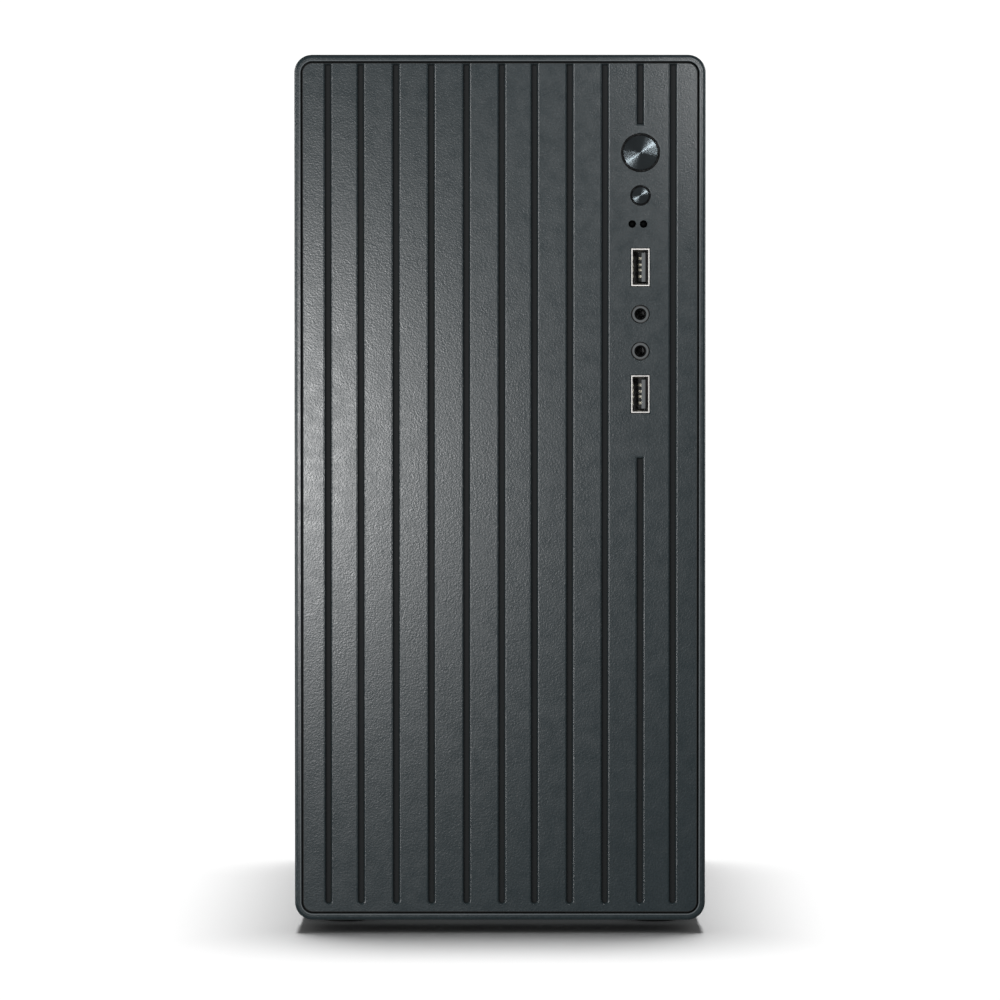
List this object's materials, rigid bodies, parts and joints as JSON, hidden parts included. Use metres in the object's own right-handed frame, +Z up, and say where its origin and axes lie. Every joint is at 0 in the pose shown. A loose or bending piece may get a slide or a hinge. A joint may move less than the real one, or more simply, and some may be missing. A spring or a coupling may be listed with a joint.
{
  "type": "desktop computer tower",
  "caption": "Upright desktop computer tower with a vertically grooved front bezel, buttons and sockets on the front, slide-off side panels and full working internals.",
  "frame": {"origin": "on the floor, midway between the sides and midway between the bezel's face and the rear thumbscrews' heads", "axes": "+X to the right seen from the front, +Y to the rear, +Z up; the front faces -Y"},
  "size_m": [0.16, 0.3, 0.342],
  "materials": {
    "bezel_plastic": "fine moulded grain, dark slate grey",
    "button_plastic": "black, smooth",
    "button_metal": "turned in fine rings, anodised dark",
    "board_green": "solder mask over fibreglass",
    "board_black": "dark solder mask over fibreglass",
    "zinc_steel": "zinc plated sheet, faint spangle",
    "black_paint": "fine textured black powder coat",
    "nickel_shell": "nickel plated",
    "connector_grey": "moulded insulator",
    "connector_black": "moulded, satin",
    "lamp": "dark diffused lens, unlit",
    "switch_white": "moulded",
    "foot_rubber": "matt black",
    "screw_zinc": "bright zinc",
    "thumb_black": "black chromate",
    "drive_cast": "cast case, machined lid",
    "standoff_brass": "turned",
    "cooler_aluminium": "extruded, bare",
    "socket_plated": "stamped load plate over a plastic socket",
    "fan_black": "moulded, satin",
    "memory_green": "solder mask with black chips",
    "coin_steel": "rolled steel coin",
    "psu_steel": "zinc plated sheet",
    "psu_board": "brown laminate with its parts",
    "guard_wire": "bright plated wire",
    "rocker_black": "moulded",
    "cable_black": "sleeved wires with moulded plugs",
    "cable_red": "flexible plastic jacket"
  },
  "bodies": {
    "chassis": {"front_io_board": "board_green", "motherboard": "board_black", "front_io_bracket": "zinc_steel", "front_wall": "zinc_steel", "bottom_pan": "zinc_steel", "rear_panel": "zinc_steel", "motherboard_tray": "zinc_steel", "slot_covers": "zinc_steel", "drive_bracket": "zinc_steel", "top_panel": "black_paint", "front_usb_shells": "nickel_shell", "rear_io_ports": "nickel_shell", "io_shield": "nickel_shell", "front_usb_tongues": "connector_grey", "front_audio_jacks": "connector_black", "rear_audio_jacks": "connector_black", "button_switches": "connector_black", "expansion_sockets": "connector_black", "memory_slots": "connector_black", "board_sockets": "connector_black", "psu_inlet": "connector_black", "psu_switch_housing": "connector_black", "status_leds": "lamp", "rubber_feet": "foot_rubber", "case_screws": "screw_zinc", "hard_drive": "drive_cast", "board_standoffs": "standoff_brass", "cpu_heatsink": "cooler_aluminium", "chipset_heatsink": "cooler_aluminium", "cpu_socket": "socket_plated", "cpu_fan_frame": "fan_black", "rear_fan_frame": "fan_black", "psu_fan_frame": "fan_black", "memory_modules": "memory_green", "cmos_battery": "coin_steel", "psu_base": "psu_steel", "psu_cover": "psu_steel", "psu_circuit_board": "psu_board", "psu_fan_guard": "guard_wire", "main_power_cable": "cable_black", "front_panel_cable": "cable_black", "drive_data_cable": "cable_red"},
    "bezel": {"bezel_frame": "bezel_plastic", "bezel_face_panel": "bezel_plastic"},
    "power_button": {"power_button": "button_plastic", "power_button_disc": "button_metal"},
    "reset_button": {"reset_button": "button_plastic", "reset_button_disc": "button_metal"},
    "power_plunger": {"power_switch_plunger": "switch_white"},
    "reset_plunger": {"reset_switch_plunger": "switch_white"},
    "left_panel": {"left_side_panel": "black_paint"},
    "right_panel": {"right_side_panel": "black_paint"},
    "left_lower_screw": {"left_lower_thumbscrew": "thumb_black"},
    "left_upper_screw": {"left_upper_thumbscrew": "thumb_black"},
    "right_lower_screw": {"right_lower_thumbscrew": "thumb_black"},
    "right_upper_screw": {"right_upper_thumbscrew": "thumb_black"},
    "cpu_fan": {"cpu_fan_rotor": "fan_black"},
    "rear_fan": {"rear_fan_rotor": "fan_black"},
    "psu_fan": {"psu_fan_rotor": "fan_black"},
    "rocker": {"psu_rocker": "rocker_black"}
  },
  "joints": [
    {"name": "bezel_pull", "type": "slide", "parent": "chassis", "child": "bezel", "axis": [0, -1, 0], "range_m": [0, 0.05]},
    {"name": "power_press", "type": "slide", "parent": "bezel", "child": "power_button", "axis": [0, 1, 0], "range_m": [0, 0.0015], "stiffness_N_per_m": 1600},
    {"name": "reset_press", "type": "slide", "parent": "bezel", "child": "reset_button", "axis": [0, 1, 0], "range_m": [0, 0.0015], "stiffness_N_per_m": 1200},
    {"name": "power_plunge", "type": "slide", "parent": "chassis", "child": "power_plunger", "axis": [0, 1, 0], "range_m": [0, 0.0015]},
    {"name": "reset_plunge", "type": "slide", "parent": "chassis", "child": "reset_plunger", "axis": [0, 1, 0], "range_m": [0, 0.0015]},
    {"name": "left_panel_slide", "type": "slide", "parent": "chassis", "child": "left_panel", "axis": [0, 1, 0], "range_m": [0, 0.28]},
    {"name": "right_panel_slide", "type": "slide", "parent": "chassis", "child": "right_panel", "axis": [0, 1, 0], "range_m": [0, 0.28]},
    {"name": "left_lower_screw_turn", "type": "hinge", "parent": "left_panel", "child": "left_lower_screw", "pos_m": [-0.0759, 0.1455, 0.03], "axis": [0, 1, 0], "continuous": true},
    {"name": "left_upper_screw_turn", "type": "hinge", "parent": "left_panel", "child": "left_upper_screw", "pos_m": [-0.0759, 0.1455, 0.24], "axis": [0, 1, 0], "continuous": true},
    {"name": "right_lower_screw_turn", "type": "hinge", "parent": "right_panel", "child": "right_lower_screw", "pos_m": [0.0759, 0.1455, 0.03], "axis": [0, 1, 0], "continuous": true},
    {"name": "right_upper_screw_turn", "type": "hinge", "parent": "right_panel", "child": "right_upper_screw", "pos_m": [0.0759, 0.1455, 0.24], "axis": [0, 1, 0], "continuous": true},
    {"name": "cpu_fan_spin", "type": "hinge", "parent": "chassis", "child": "cpu_fan", "pos_m": [0.0125, 0.062, 0.182], "axis": [-1, 0, 0], "continuous": true},
    {"name": "rear_fan_spin", "type": "hinge", "parent": "chassis", "child": "rear_fan", "pos_m": [-0.029, 0.1285, 0.17], "axis": [0, -1, 0], "continuous": true},
    {"name": "psu_fan_spin", "type": "hinge", "parent": "chassis", "child": "psu_fan", "pos_m": [-0.024, 0.1285, 0.296], "axis": [0, -1, 0], "continuous": true},
    {"name": "rocker_tip", "type": "hinge", "parent": "chassis", "child": "rocker", "pos_m": [0.045, 0.1388, 0.286], "axis": [0, 0, 1], "range_deg": [0, 20]}
  ],
  "couplings": [
    {"joint": "power_plunge", "follows": "power_press", "ratio": 1},
    {"joint": "reset_plunge", "follows": "reset_press", "ratio": 1}
  ]
}
